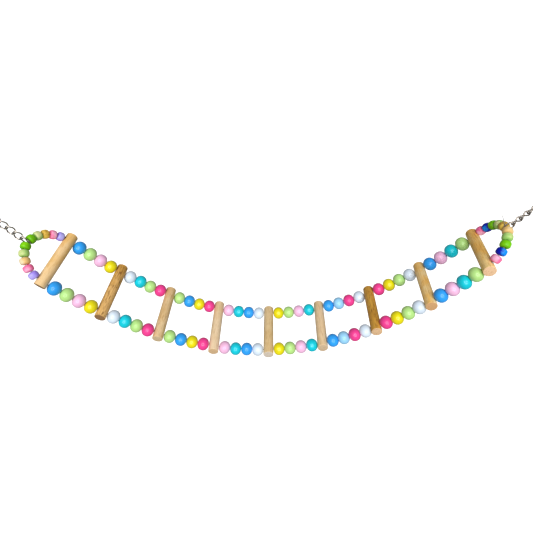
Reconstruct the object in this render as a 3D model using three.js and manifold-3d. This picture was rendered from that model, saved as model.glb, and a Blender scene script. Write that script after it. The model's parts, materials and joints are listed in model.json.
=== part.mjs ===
// A hanging bird ladder: wooden rungs between two rails of painted beads, threaded on
// bendable wire, with a beaded loop, a twisted-link chain and a snap hook at each end.
// Millimetres, +Z up, +X to the right along the ladder, +Y away from the viewer.
// The origin is the seat inside the left hook, where the ladder hangs from its perch wire.
import * as THREE from 'three';
import { mergeVertices } from 'three/addons/utils/BufferGeometryUtils.js';
import Module from 'manifold-3d';

const wasm = await Module();
wasm.setup();

// Rungs: dowels with a cross-hole for each rail's wire
const RUNG_COUNT = 9;
const RUNG_DIAMETER = 10;
const RUNG_LENGTH = 60;
const RUNG_EDGE = 0.5;
const RUNG_HOLE = 4;

// Rails: the wire and the four beads of each bay
const RAIL_SPACING = 47;
const WIRE_DIAMETER = 1.2;
const BEADS_PER_BAY = 4;
const BEAD_DIAMETER = 12;
const BEAD_LENGTH = 10.8;
const BEAD_FACE = 5.2;
const BEAD_GAP = 0.23;

// How the ladder hangs: a catenary, with a slow twist from one end to the other
const SAG_RADIUS = 177;
const TWIST = 24;

// End loops: smaller barrel beads on the same wire, with bare wire where the chain sits
const LOOP_BEADS_PER_SIDE = 5;
const LOOP_BEAD_DIAMETER = 8.3;
const LOOP_BEAD_LENGTH = 6.2;
const LOOP_BEAD_FACE = 2.4;
const LOOP_BEAD_GAP = 0.45;
const LOOP_LIFT = { left: 5, right: 9 };
const LOOP_LEAN = -0.7;
const WIRE_TAIL_LENGTH = 10.5;
const WIRE_TAIL_DIAMETER = 0.8;
const WIRE_TAIL_LEAN = { alongLadder: -28, away: 6 };

// Chain: oval links, each twisted a quarter turn so that the chain lies flat
const LINKS_PER_CHAIN = 6;
const LINK_WIRE = 1.2;
const LINK_INNER_LENGTH = 6.9;
const LINK_EASE = 0.8;
const LINK_TWIST = 90;
const FIRST_LINK_TURN = 90;
const CHAIN_RISE = { left: 58, right: 53 };

// Snap hook: a pressed pear-shaped body, a folded gate, a rivet and a leaf spring
const HOOK_THICKNESS = 2.2;
const HOOK_BAR = 2.8;
const HOOK_EYE_BAR = 2;
const HOOK_EYE_RADIUS = 3.2;
const HOOK_BOW_RADIUS = 6.5;
const HOOK_BOW_HEIGHT = 22;
const HOOK_BOSS_DIAMETER = 3.8;
const HOOK_BOSS_DISTANCE = 5;
const HOOK_NOSE_OVERLAP = 1.6;
const HOOK_EDGE = 0.45;
const HOOK_EYE_GAP = 0.5;
const GATE_SHEET = 0.5;
const GATE_WALL = 3.4;
const RIVET_DIAMETER = 1.2;
const RIVET_HEAD_DIAMETER = 2.6;
const RIVET_HEAD_HEIGHT = 0.5;
const SPRING_THICKNESS = 0.3;
const SPRING_WIDTH = 1.6;
const SPRING_LENGTH = 6;
const SPRING_BOW = 0.3;

// Clearances
const RUNNING_GAP = 0.3;
const WIRE_END_GAP = 0.5;
const LOOP_FIRST_GAP = 0.5;
const CHAIN_SLOT_EASE = 0.25;

// Facets round each form
const RUNG_SIDES = 14;
const HOLE_SIDES = 8;
const BEAD_SIDES = 9;
const BEAD_RINGS = 5;
const LOOP_BEAD_SIDES = 8;
const LOOP_BEAD_RINGS = 4;
const LINK_SIDES = 6;
const LINK_BOW_STEPS = 5;
const LINK_LEG_STEPS = 2;
const HOOK_ARC_STEPS = 9;
const ROUND_SIDES = 12;

// How finely lengths and joined corners are worked out
const LOOP_LENGTH_DIVISIONS = 600;
const LOOP_HEIGHT_HALVINGS = 40;
const WELD_DISTANCE = 1e-4;

const RAD = Math.PI / 180;
const OUTWARD = { left: -1, right: 1 };
const PAINT = { roughness: 0.35, metalness: 0 };
const WOOD = { color: 0xd9b98a, roughness: 0.7, metalness: 0 };
const NICKEL = { color: 0xb9b4ae, roughness: 0.3, metalness: 1 };
const STEEL = { color: 0x8f8f92, roughness: 0.4, metalness: 1 };
const BAY_COLOURS = [0x2c8ff5, 0x12c3cc, 0xf5177f, 0xf7b5de, 0xefe01e, 0x85ccfa, 0xb4e58a, 0x2c8ff5];
const LOOP_COLOURS = { left: 0x5fae14, right: 0xf0c98a };

const rungRadius = RUNG_DIAMETER / 2;
const wireRadius = WIRE_DIAMETER / 2;
const linkRadius = LINK_WIRE / 2;
const beadStart = rungRadius + RUNNING_GAP;
const rungPitch = BEADS_PER_BAY * BEAD_LENGTH + (BEADS_PER_BAY - 1) * BEAD_GAP + 2 * beadStart;
const ladderLength = (RUNG_COUNT - 1) * rungPitch;

// The ladder's middle line at a distance s along it from its lowest point: where it is, and
// the directions along the ladder and across it, which is the way the rungs lie.
function middleLine(s) {
  const slope = Math.atan(s / SAG_RADIUS);
  const roll = (-TWIST * RAD * s) / ladderLength;
  const point = new THREE.Vector3(
    SAG_RADIUS * Math.asinh(s / SAG_RADIUS),
    0,
    Math.hypot(SAG_RADIUS, s) - SAG_RADIUS
  );
  const along = new THREE.Vector3(Math.cos(slope), 0, Math.sin(slope));
  const up = new THREE.Vector3(-Math.sin(slope), 0, Math.cos(slope));
  const across = new THREE.Vector3(0, Math.cos(roll), 0).addScaledVector(up, Math.sin(roll));
  return { point, along, across };
}

function rungDistance(number) {
  return (number - (RUNG_COUNT + 1) / 2) * rungPitch;
}

// The end loops rise from the ladder's line, and the end rungs take half of that turn, so that
// the wire lies clear in their holes on both sides.
function turnedUp(direction, across, outward, degrees) {
  return direction.clone().applyAxisAngle(across, -outward * degrees * RAD);
}

// Sweeping rings: each station has a centre, a direction of travel, a direction to the side
// and a radius, and the rings are joined into one closed skin.
function sweep(stations, sides, isRing = false) {
  const positions = [];
  const triangles = [];
  for (const { centre, travel, side, radius } of stations) {
    const first = side.clone().addScaledVector(travel, -side.dot(travel)).normalize();
    const second = travel.clone().cross(first).normalize();
    for (let i = 0; i < sides; i++) {
      const angle = (2 * Math.PI * i) / sides;
      const corner = centre.clone();
      corner.addScaledVector(first, radius * Math.cos(angle));
      corner.addScaledVector(second, radius * Math.sin(angle));
      positions.push(corner.x, corner.y, corner.z);
    }
  }
  const bands = isRing ? stations.length : stations.length - 1;
  for (let band = 0; band < bands; band++) {
    const low = band * sides;
    const high = ((band + 1) % stations.length) * sides;
    for (let i = 0; i < sides; i++) {
      const next = (i + 1) % sides;
      triangles.push(low + i, low + next, high + next, low + i, high + next, high + i);
    }
  }
  if (!isRing) {
    const last = (stations.length - 1) * sides;
    for (let i = 1; i < sides - 1; i++) {
      triangles.push(0, i + 1, i, last, last + i, last + i + 1);
    }
  }
  const geometry = new THREE.BufferGeometry();
  geometry.setAttribute('position', new THREE.Float32BufferAttribute(positions, 3));
  geometry.setIndex(triangles);
  geometry.computeVertexNormals();
  return geometry;
}

// The rings of a bead, from one end to the other: a ball stretched or squeezed along the wire,
// its ends cut off flat where the hole comes out.
function beadRings(length, diameter, face, count) {
  const flatShare = face / diameter;
  const reach = length / 2 / Math.sqrt(1 - flatShare ** 2);
  const steepest = Math.asin(length / 2 / reach);
  return Array.from({ length: count }, (_, i) => {
    const angle = steepest * ((2 * i) / (count - 1) - 1);
    return { offset: reach * Math.sin(angle), radius: (diameter / 2) * Math.cos(angle) };
  });
}

// A wire with beads on it. curveAt gives centre, travel and side at a distance along the wire,
// and runs are rows of beads that start at a distance. A bead is straight, so its rings all
// lie square to the wire's direction at its middle.
function beadedWire(curveAt, from, to, runs, bead, sides) {
  const stations = [{ ...curveAt(from), radius: wireRadius }];
  for (const { start, count } of runs) {
    stations.push({ ...curveAt(start), radius: wireRadius });
    for (let i = 0; i < count; i++) {
      const beadFrom = start + i * (bead.length + bead.gap);
      const middle = curveAt(beadFrom + bead.length / 2);
      for (const { offset, radius } of bead.rings) {
        const centre = middle.centre.clone().addScaledVector(middle.travel, offset);
        stations.push({ ...middle, centre, radius });
      }
      const isLast = i === count - 1;
      const groove = beadFrom + bead.length + (isLast ? 0 : bead.gap / 2);
      stations.push({ ...curveAt(groove), radius: wireRadius });
    }
  }
  stations.push({ ...curveAt(to), radius: wireRadius });
  return sweep(stations, sides);
}

// Solids for the pieces that are cut or joined, and the way back to a mesh's geometry
function solid(geometry) {
  const bare = geometry.clone();
  bare.deleteAttribute('normal');
  bare.deleteAttribute('uv');
  const merged = mergeVertices(bare, WELD_DISTANCE);
  return new wasm.Manifold(new wasm.Mesh({
    numProp: 3,
    vertProperties: new Float32Array(merged.attributes.position.array),
    triVerts: new Uint32Array(merged.index.array),
  }));
}

function geometryOf(manifold) {
  const { vertProperties, triVerts } = manifold.getMesh();
  const geometry = new THREE.BufferGeometry();
  geometry.setAttribute('position', new THREE.BufferAttribute(vertProperties, 3));
  geometry.setIndex(new THREE.BufferAttribute(triVerts, 1));
  geometry.computeVertexNormals();
  return geometry;
}

function mesh(name, geometry, look) {
  const made = new THREE.Mesh(geometry, new THREE.MeshStandardMaterial(look));
  made.name = name;
  return made;
}

// A frame whose x, y and z axes point along the three given directions
function place(object, position, x, y, z) {
  object.position.copy(position);
  object.quaternion.setFromRotationMatrix(new THREE.Matrix4().makeBasis(x, y, z));
  return object;
}

// Rung: a dowel along z with broken edges, and its two holes along x
function rungGeometry() {
  const half = RUNG_LENGTH / 2;
  const profile = [
    new THREE.Vector2(0, -half),
    new THREE.Vector2(rungRadius - RUNG_EDGE, -half),
    new THREE.Vector2(rungRadius, -half + RUNG_EDGE),
    new THREE.Vector2(rungRadius, half - RUNG_EDGE),
    new THREE.Vector2(rungRadius - RUNG_EDGE, half),
    new THREE.Vector2(0, half),
  ];
  const dowel = new THREE.LatheGeometry(profile, RUNG_SIDES).rotateX(Math.PI / 2);
  const drill = new THREE.CylinderGeometry(
    RUNG_HOLE / 2, RUNG_HOLE / 2, 2 * RUNG_DIAMETER, HOLE_SIDES
  ).rotateZ(Math.PI / 2);
  let body = solid(dowel);
  for (const side of [-1, 1]) {
    const hole = drill.clone().translate(0, 0, (side * RAIL_SPACING) / 2);
    body = body.subtract(solid(hole));
  }
  return geometryOf(body);
}

// Rails: the wire of one bay runs from one rung's axis to the next, with its beads on it
const RAIL_BEAD = {
  length: BEAD_LENGTH,
  gap: BEAD_GAP,
  rings: beadRings(BEAD_LENGTH, BEAD_DIAMETER, BEAD_FACE, BEAD_RINGS),
};

function railGeometry(bay, side) {
  const offset = (side * RAIL_SPACING) / 2;
  const curveAt = (s) => {
    const { point, along, across } = middleLine(s);
    return { centre: point.addScaledVector(across, offset), travel: along, side: across };
  };
  const from = rungDistance(bay);
  const to = rungDistance(bay + 1);
  return beadedWire(
    curveAt,
    from + WIRE_END_GAP / 2,
    to - WIRE_END_GAP / 2,
    [{ start: from + beadStart, count: BEADS_PER_BAY }],
    RAIL_BEAD,
    BEAD_SIDES
  );
}

// End loop: half an ellipse from one hole of the end rung to the other, in a plane where x is
// the way the rung lies and y is away from it. A leaning loop is drawn to one side.
const chainSlot = LINK_WIRE + 2 * RUNNING_GAP + 2 * CHAIN_SLOT_EASE;
const loopStart = rungRadius + LOOP_FIRST_GAP;
const loopRow = LOOP_BEADS_PER_SIDE * LOOP_BEAD_LENGTH + (LOOP_BEADS_PER_SIDE - 1) * LOOP_BEAD_GAP;
const loopLength = 2 * (loopStart + loopRow) + chainSlot;
const LOOP_BEAD = {
  length: LOOP_BEAD_LENGTH,
  gap: LOOP_BEAD_GAP,
  rings: beadRings(LOOP_BEAD_LENGTH, LOOP_BEAD_DIAMETER, LOOP_BEAD_FACE, LOOP_BEAD_RINGS),
};

class LoopCurve extends THREE.Curve {
  constructor(height, lean) {
    super();
    this.height = height;
    this.lean = lean;
    this.arcLengthDivisions = LOOP_LENGTH_DIVISIONS;
  }

  getPoint(share, target = new THREE.Vector2()) {
    const angle = Math.PI * share;
    const foot = RAIL_SPACING / 2;
    const across = this.lean * Math.sin(angle) ** 2 - foot * Math.cos(angle);
    return target.set(across, this.height * Math.sin(angle));
  }
}

// The loop is as high as its beads make it: the height is found by halving an interval
function fittedLoop(lean) {
  let low = rungRadius;
  let high = loopLength;
  for (let i = 0; i < LOOP_HEIGHT_HALVINGS; i++) {
    const height = (low + high) / 2;
    if (new LoopCurve(height, lean).getLength() < loopLength) low = height;
    else high = height;
  }
  return new LoopCurve(low, lean);
}

function endLoop(end) {
  const outward = OUTWARD[end];
  const { point, along, across } = middleLine((outward * ladderLength) / 2);
  const out = turnedUp(along.clone().multiplyScalar(outward), across, outward, LOOP_LIFT[end]);
  const path = fittedLoop(LOOP_LEAN);
  const curveAt = (distance) => {
    const share = Math.min(1, Math.max(0, distance / path.getLength()));
    const flat = path.getPointAt(share);
    const heading = path.getTangentAt(share);
    const inSpace = (v) => across.clone().multiplyScalar(v.x).addScaledVector(out, v.y);
    return {
      centre: inSpace(flat).add(point),
      travel: inSpace(heading),
      side: across.clone().cross(out),
    };
  };
  const geometry = beadedWire(
    curveAt,
    WIRE_END_GAP / 2,
    loopLength - WIRE_END_GAP / 2,
    [
      { start: loopStart, count: LOOP_BEADS_PER_SIDE },
      { start: loopStart + loopRow + chainSlot, count: LOOP_BEADS_PER_SIDE },
    ],
    LOOP_BEAD,
    LOOP_BEAD_SIDES
  );
  return { geometry, crown: curveAt(loopLength / 2) };
}

// Chain link: an oval along z whose first bow's centre line is at 0. It turns about z on its way,
// from turnStart degrees, mostly in its legs, and it is wide enough for the hook's eye to swing.
const linkInnerWidth = HOOK_THICKNESS + 2 * LINK_EASE;
const linkBow = (linkInnerWidth + LINK_WIRE) / 2;
const linkReach = LINK_INNER_LENGTH + LINK_WIRE;
const linkPitch = linkReach - LINK_WIRE - RUNNING_GAP;

function linkGeometry(turnStart, turn) {
  const flat = [];
  for (const end of [0, 1]) {
    const bowCentre = end ? linkReach - linkBow : linkBow;
    for (let i = 0; i <= LINK_BOW_STEPS; i++) {
      const angle = Math.PI * (i / LINK_BOW_STEPS + end);
      const sideways = linkBow * Math.cos(angle);
      flat.push({ sideways, height: bowCentre - linkBow * Math.sin(angle), angle });
    }
    const legSide = end ? 1 : -1;
    const legFrom = end ? linkReach - linkBow : linkBow;
    const legTo = end ? linkBow : linkReach - linkBow;
    for (let i = 1; i < LINK_LEG_STEPS; i++) {
      const height = legFrom + ((legTo - legFrom) * i) / LINK_LEG_STEPS;
      flat.push({ sideways: legSide * linkBow, height });
    }
  }
  const inSpace = ({ sideways, height }) => {
    const share = THREE.MathUtils.smootherstep(height, 0, linkReach);
    const angle = (turnStart + turn * share) * RAD;
    const across = new THREE.Vector3(Math.cos(angle), Math.sin(angle), 0);
    const normal = new THREE.Vector3(-Math.sin(angle), Math.cos(angle), 0);
    const centre = across.multiplyScalar(sideways).setZ(height);
    return { centre, normal };
  };
  const places = flat.map(inSpace);
  const stations = places.map(({ centre, normal }, i) => {
    const before = places[(i + places.length - 1) % places.length].centre;
    const after = places[(i + 1) % places.length].centre;
    const travel = after.clone().sub(before).normalize();
    return { centre, travel, side: normal, radius: linkRadius };
  });
  return sweep(stations, LINK_SIDES, true);
}

// Snap hook, along z from its eye bar at 0, in the xz plane, its thickness along y.
// The gate's line touches the eye's and the bow's centre lines on the +x side.
const hookTaper = Math.asin((HOOK_BOW_RADIUS - HOOK_EYE_RADIUS) / (HOOK_BOW_HEIGHT - HOOK_EYE_RADIUS));
const gateLineStart = new THREE.Vector2(
  HOOK_EYE_RADIUS * Math.cos(hookTaper),
  HOOK_EYE_RADIUS - HOOK_EYE_RADIUS * Math.sin(hookTaper)
);
const gateLineEnd = new THREE.Vector2(
  HOOK_BOW_RADIUS * Math.cos(hookTaper),
  HOOK_BOW_HEIGHT - HOOK_BOW_RADIUS * Math.sin(hookTaper)
);
const gateWay = gateLineEnd.clone().sub(gateLineStart).normalize();
const boss = gateLineStart.clone().addScaledVector(gateWay, HOOK_BOSS_DISTANCE);
const noseTip = gateLineEnd.clone().addScaledVector(gateWay, -HOOK_NOSE_OVERLAP / 2);
const gateLength = noseTip.distanceTo(boss) + HOOK_NOSE_OVERLAP;
const hookSeat = HOOK_BOW_HEIGHT + HOOK_BOW_RADIUS - HOOK_BAR / 2;
const hookHoleDiameter = RIVET_DIAMETER + 2 * RUNNING_GAP;

function extrudeAcross(outline, thickness, edge) {
  const shape = new THREE.Shape(outline);
  const geometry = new THREE.ExtrudeGeometry(shape, {
    depth: thickness - 2 * edge,
    bevelEnabled: edge > 0,
    bevelThickness: edge,
    bevelSize: edge,
    bevelOffset: -edge,
    bevelSegments: 1,
    curveSegments: HOOK_ARC_STEPS,
  });
  geometry.translate(0, 0, -thickness / 2 + edge);
  return geometry.rotateX(Math.PI / 2);
}

// The body's bar follows the nose, the bow, the spine and the eye, and ends at the boss. It is
// thinnest at the eye's foot, where the chain's last link holds it.
function hookBodyGeometry() {
  const centres = [{ at: noseTip, half: HOOK_BAR / 2 }];
  for (let i = 0; i <= HOOK_ARC_STEPS; i++) {
    const angle = -hookTaper + ((Math.PI + 2 * hookTaper) * i) / HOOK_ARC_STEPS;
    const at = new THREE.Vector2(Math.cos(angle), Math.sin(angle)).multiplyScalar(HOOK_BOW_RADIUS);
    centres.push({ at: at.add(new THREE.Vector2(0, HOOK_BOW_HEIGHT)), half: HOOK_BAR / 2 });
  }
  for (let i = 0; i <= HOOK_ARC_STEPS; i++) {
    const angle = Math.PI + hookTaper + ((Math.PI - 2 * hookTaper) * i) / HOOK_ARC_STEPS;
    const at = new THREE.Vector2(Math.cos(angle), Math.sin(angle)).multiplyScalar(HOOK_EYE_RADIUS);
    const bar = THREE.MathUtils.lerp(HOOK_EYE_BAR, HOOK_BAR, Math.cos(angle) ** 2);
    centres.push({ at: at.add(new THREE.Vector2(0, HOOK_EYE_RADIUS)), half: bar / 2 });
  }
  centres.push({ at: boss, half: HOOK_BAR / 2 });
  const outer = [];
  const inner = [];
  centres.forEach(({ at, half }, i) => {
    const before = centres[Math.max(0, i - 1)].at;
    const after = centres[Math.min(centres.length - 1, i + 1)].at;
    const heading = after.clone().sub(before).normalize();
    const normal = new THREE.Vector2(heading.y, -heading.x);
    outer.push(at.clone().addScaledVector(normal, half));
    inner.push(at.clone().addScaledVector(normal, -half));
  });
  const bar = extrudeAcross([...outer, ...inner.reverse()], HOOK_THICKNESS, HOOK_EDGE);
  const disc = new THREE.CylinderGeometry(
    HOOK_BOSS_DIAMETER / 2, HOOK_BOSS_DIAMETER / 2, HOOK_THICKNESS, ROUND_SIDES
  ).translate(boss.x, 0, boss.y);
  const hole = new THREE.CylinderGeometry(
    hookHoleDiameter / 2, hookHoleDiameter / 2, 2 * HOOK_THICKNESS, ROUND_SIDES
  ).translate(boss.x, 0, boss.y);
  return geometryOf(solid(bar).add(solid(disc)).subtract(solid(hole)));
}

// The gate lies along z from the rivet at 0, a channel whose back faces the spine on -x
const gateInside = HOOK_THICKNESS + 2 * RUNNING_GAP;
const gateWidth = gateInside + 2 * GATE_SHEET;
const gateBack = HOOK_BAR / 2 + RUNNING_GAP;
const gateBackStart = HOOK_BOSS_DIAMETER / 2 + RUNNING_GAP;

function gateGeometry() {
  const wallFrom = -gateBack - GATE_SHEET;
  const channel = new THREE.Shape([
    new THREE.Vector2(wallFrom, -gateWidth / 2),
    new THREE.Vector2(wallFrom + GATE_WALL, -gateWidth / 2),
    new THREE.Vector2(wallFrom + GATE_WALL, -gateInside / 2),
    new THREE.Vector2(-gateBack, -gateInside / 2),
    new THREE.Vector2(-gateBack, gateInside / 2),
    new THREE.Vector2(wallFrom + GATE_WALL, gateInside / 2),
    new THREE.Vector2(wallFrom + GATE_WALL, gateWidth / 2),
    new THREE.Vector2(wallFrom, gateWidth / 2),
  ]);
  const trough = new THREE.ExtrudeGeometry(channel, {
    depth: gateLength - gateBackStart,
    bevelEnabled: false,
  }).translate(0, 0, gateBackStart);
  let gate = solid(trough);
  const wallCentre = (gateInside + GATE_SHEET) / 2;
  for (const side of [-1, 1]) {
    const cheek = new THREE.Shape();
    cheek.moveTo(0, -HOOK_BOSS_DIAMETER / 2);
    cheek.absarc(0, 0, HOOK_BOSS_DIAMETER / 2, -Math.PI / 2, -Math.PI, true);
    cheek.lineTo(wallFrom, gateBackStart + GATE_SHEET);
    cheek.lineTo(wallFrom + GATE_WALL, gateBackStart + GATE_SHEET);
    cheek.lineTo(HOOK_BOSS_DIAMETER / 2, 0);
    cheek.absarc(0, 0, HOOK_BOSS_DIAMETER / 2, 0, -Math.PI / 2, true);
    const outline = cheek.getPoints(ROUND_SIDES / 2);
    const plate = extrudeAcross(outline, GATE_SHEET, 0).translate(0, side * wallCentre, 0);
    gate = gate.add(solid(plate));
  }
  const hole = new THREE.CylinderGeometry(
    hookHoleDiameter / 2, hookHoleDiameter / 2, 2 * gateWidth, ROUND_SIDES
  );
  return geometryOf(gate.subtract(solid(hole)));
}

function rivetGeometry() {
  const shank = gateWidth / 2 + RUNNING_GAP;
  const tip = shank + RIVET_HEAD_HEIGHT;
  return new THREE.LatheGeometry([
    new THREE.Vector2(0, -tip),
    new THREE.Vector2(RIVET_HEAD_DIAMETER / 2 - RIVET_HEAD_HEIGHT / 2, -tip),
    new THREE.Vector2(RIVET_HEAD_DIAMETER / 2, -shank),
    new THREE.Vector2(RIVET_DIAMETER / 2, -shank),
    new THREE.Vector2(RIVET_DIAMETER / 2, shank),
    new THREE.Vector2(RIVET_HEAD_DIAMETER / 2, shank),
    new THREE.Vector2(RIVET_HEAD_DIAMETER / 2 - RIVET_HEAD_HEIGHT / 2, tip),
    new THREE.Vector2(0, tip),
  ], ROUND_SIDES);
}

// The leaf spring lies along the gate's channel and is bowed away from its back
function springGeometry() {
  const lowEnd = gateBackStart;
  const highEnd = gateBackStart + SPRING_LENGTH;
  const middle = (lowEnd + highEnd) / 2;
  const under = RUNNING_GAP - gateBack;
  const over = under + SPRING_THICKNESS;
  const outline = new THREE.Shape();
  outline.moveTo(under, lowEnd);
  outline.quadraticCurveTo(under + 2 * SPRING_BOW, middle, under, highEnd);
  outline.lineTo(over, highEnd);
  outline.quadraticCurveTo(over + 2 * SPRING_BOW, middle, over, lowEnd);
  return extrudeAcross(outline.getPoints(ROUND_SIDES / 2), SPRING_WIDTH, 0);
}

function snapHook(end) {
  const group = new THREE.Group();
  group.add(mesh(`${end}_hook_body`, hookBodyGeometry(), NICKEL));
  const gateGroup = new THREE.Group();
  gateGroup.position.set(boss.x, 0, boss.y);
  gateGroup.rotation.y = hookTaper;
  gateGroup.add(mesh(`${end}_hook_gate`, gateGeometry(), NICKEL));
  gateGroup.add(mesh(`${end}_hook_rivet`, rivetGeometry(), NICKEL));
  gateGroup.add(mesh(`${end}_hook_spring`, springGeometry(), STEEL));
  group.add(gateGroup);
  return group;
}

// Chain: the first link is flat and sits on the loop's bare wire, and the others are twisted
function chain(end, crown) {
  const outward = OUTWARD[end];
  const rise = CHAIN_RISE[end] * RAD;
  const away = new THREE.Vector3(outward * Math.cos(rise), 0, Math.sin(rise));
  const across = crown.travel.clone().addScaledVector(away, -crown.travel.dot(away)).normalize();
  const third = away.clone().cross(across);
  const group = place(new THREE.Group(), crown.centre, across, third, away);
  const firstBow = -(wireRadius + RUNNING_GAP + linkRadius);
  for (let number = 1; number <= LINKS_PER_CHAIN; number++) {
    const isFlat = number === 1;
    const geometry = isFlat ? linkGeometry(FIRST_LINK_TURN, 0) : linkGeometry(0, -LINK_TWIST);
    const link = mesh(`${end}_chain_link_${number}`, geometry, NICKEL);
    link.position.z = firstBow + (number - 1) * linkPitch;
    group.add(link);
  }
  const lastBow = firstBow + (LINKS_PER_CHAIN - 1) * linkPitch + linkReach;
  const hook = snapHook(end);
  hook.position.z = lastBow - linkRadius - HOOK_EYE_GAP - HOOK_EYE_BAR / 2;
  group.add(hook);
  const seat = new THREE.Vector3(0, 0, hook.position.z + hookSeat);
  group.updateMatrix();
  return { group, seat: seat.applyMatrix4(group.matrix) };
}

// The end of the wire, nipped off where the right loop is closed, stands up beside its crown
// and leans a few degrees from upright
function withWireTail(geometry, crown) {
  const root = crown.centre.clone().addScaledVector(crown.travel, chainSlot / 2 + wireRadius);
  const lean = [WIRE_TAIL_LEAN.alongLadder, WIRE_TAIL_LEAN.away].map((degrees) => degrees * RAD);
  const up = new THREE.Vector3(Math.tan(lean[0]), Math.tan(lean[1]), 1).normalize();
  const stations = [0, WIRE_TAIL_LENGTH].map((distance) => ({
    centre: root.clone().addScaledVector(up, distance),
    travel: up,
    side: new THREE.Vector3(0, 1, 0),
    radius: WIRE_TAIL_DIAMETER / 2,
  }));
  return geometryOf(solid(geometry).add(solid(sweep(stations, LINK_SIDES))));
}

const ladder = new THREE.Group();

for (let number = 1; number <= RUNG_COUNT; number++) {
  const { point, along, across } = middleLine(rungDistance(number));
  const end = { 1: 'left', [RUNG_COUNT]: 'right' }[number];
  const holeWay = end ? turnedUp(along, across, OUTWARD[end], LOOP_LIFT[end] / 2) : along;
  const rung = mesh(`rung_${number}`, rungGeometry(), WOOD);
  ladder.add(place(rung, point, holeWay, across.clone().cross(holeWay), across));
}

for (let bay = 1; bay < RUNG_COUNT; bay++) {
  const look = { ...PAINT, color: BAY_COLOURS[(bay - 1) % BAY_COLOURS.length] };
  ladder.add(mesh(`near_rail_${bay}`, railGeometry(bay, -1), look));
  ladder.add(mesh(`far_rail_${bay}`, railGeometry(bay, 1), look));
}

const seats = {};
for (const end of ['left', 'right']) {
  const { geometry, crown } = endLoop(end);
  const look = { ...PAINT, color: LOOP_COLOURS[end] };
  const whole = end === 'right' ? withWireTail(geometry, crown) : geometry;
  ladder.add(mesh(`${end}_end_loop`, whole, look));
  const { group, seat } = chain(end, crown);
  ladder.add(group);
  seats[end] = seat;
}

ladder.position.copy(seats.left).negate();
const part = new THREE.Group();
part.add(ladder);

export default part;
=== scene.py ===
# A hanging bird ladder: beech rungs between rails of painted wooden beads on bendable wire, with
# a loop of smaller beads, a twisted-link chain and a snap hook at each end. Metres, +Z up.
import json
import math
import random

import bmesh
import bpy
from mathutils import Matrix, Vector


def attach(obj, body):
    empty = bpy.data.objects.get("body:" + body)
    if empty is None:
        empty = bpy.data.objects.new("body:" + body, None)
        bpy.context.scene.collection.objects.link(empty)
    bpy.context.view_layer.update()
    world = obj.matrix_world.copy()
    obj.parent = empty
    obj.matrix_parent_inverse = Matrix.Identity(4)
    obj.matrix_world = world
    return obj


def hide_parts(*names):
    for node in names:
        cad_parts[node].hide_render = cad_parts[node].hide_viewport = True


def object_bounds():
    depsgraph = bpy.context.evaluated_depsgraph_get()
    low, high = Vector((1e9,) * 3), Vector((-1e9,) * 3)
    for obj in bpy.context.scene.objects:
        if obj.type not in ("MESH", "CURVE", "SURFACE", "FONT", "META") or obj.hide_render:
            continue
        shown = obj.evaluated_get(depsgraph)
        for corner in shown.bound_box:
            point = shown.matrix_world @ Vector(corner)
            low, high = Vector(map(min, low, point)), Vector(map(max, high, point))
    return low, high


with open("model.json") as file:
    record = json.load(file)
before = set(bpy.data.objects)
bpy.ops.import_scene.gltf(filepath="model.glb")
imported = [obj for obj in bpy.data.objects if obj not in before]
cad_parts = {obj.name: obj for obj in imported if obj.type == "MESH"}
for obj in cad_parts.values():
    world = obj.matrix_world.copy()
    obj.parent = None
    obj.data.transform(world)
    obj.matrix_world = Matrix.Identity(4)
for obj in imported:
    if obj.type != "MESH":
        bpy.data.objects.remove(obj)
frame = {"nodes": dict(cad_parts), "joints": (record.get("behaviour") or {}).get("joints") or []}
cad_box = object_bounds()

# Rungs. Each is a beech dowel, sawn to length, with its edges broken and two holes drilled for
# the wires. The wood is sanded and left bare. Two of the nine come from darker, coarser boards.
MM = 0.001
RUNG_COUNT = 9
MIDDLE_RUNG = 5
RUNG_DIAMETER = 10 * MM
RUNG_LENGTH = 60 * MM
RUNG_EDGE = 0.5 * MM
RUNG_HOLE = 4 * MM
RAIL_SPACING = 47 * MM
RUNG_SIDES = 64
EDGE_STEPS = 5
HOLE_SIDES = 24
# The near end of the first rung was sawn at a slant
SLANTED_RUNG = 1
SAW_SLANT = math.radians(18)
SAW_REACH = RUNG_EDGE + 0.001 * MM
# Each end loop rises a little out of the ladder's line, and its rung turns by half as much
LOOP_LIFT = {1: math.radians(5), RUNG_COUNT: math.radians(9)}

hinges = {joint["name"]: joint for joint in frame["joints"]}
lowest_point = Vector(hinges[f"bay_{MIDDLE_RUNG}_bend"]["pos_m"])

# How the ladder hangs: a catenary with a slow twist. A distance is measured along it from the
# middle rung.
SAG_RADIUS = 177 * MM
TWIST = math.radians(24)
RUNG_PITCH = 54.49 * MM


def hanging_line(distance):
    """The ladder's middle there, the direction along it and the direction across it."""
    slope = math.atan(distance / SAG_RADIUS)
    roll = -TWIST * distance / ((RUNG_COUNT - 1) * RUNG_PITCH)
    sag = math.hypot(SAG_RADIUS, distance) - SAG_RADIUS
    middle = lowest_point + Vector((SAG_RADIUS * math.asinh(distance / SAG_RADIUS), 0, sag))
    along = Vector((math.cos(slope), 0, math.sin(slope)))
    up = Vector((-math.sin(slope), 0, math.cos(slope)))
    across = Vector((0, math.cos(roll), 0)) + math.sin(roll) * up
    return middle, along, across


def rung_distance(number):
    return (number - MIDDLE_RUNG) * RUNG_PITCH


def set_up(place, x, y, z):
    """The matrix of a piece whose own axes point along x, y and z."""
    turned = Matrix((x, y, z)).transposed().to_4x4()
    return Matrix.Translation(place) @ turned


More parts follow.
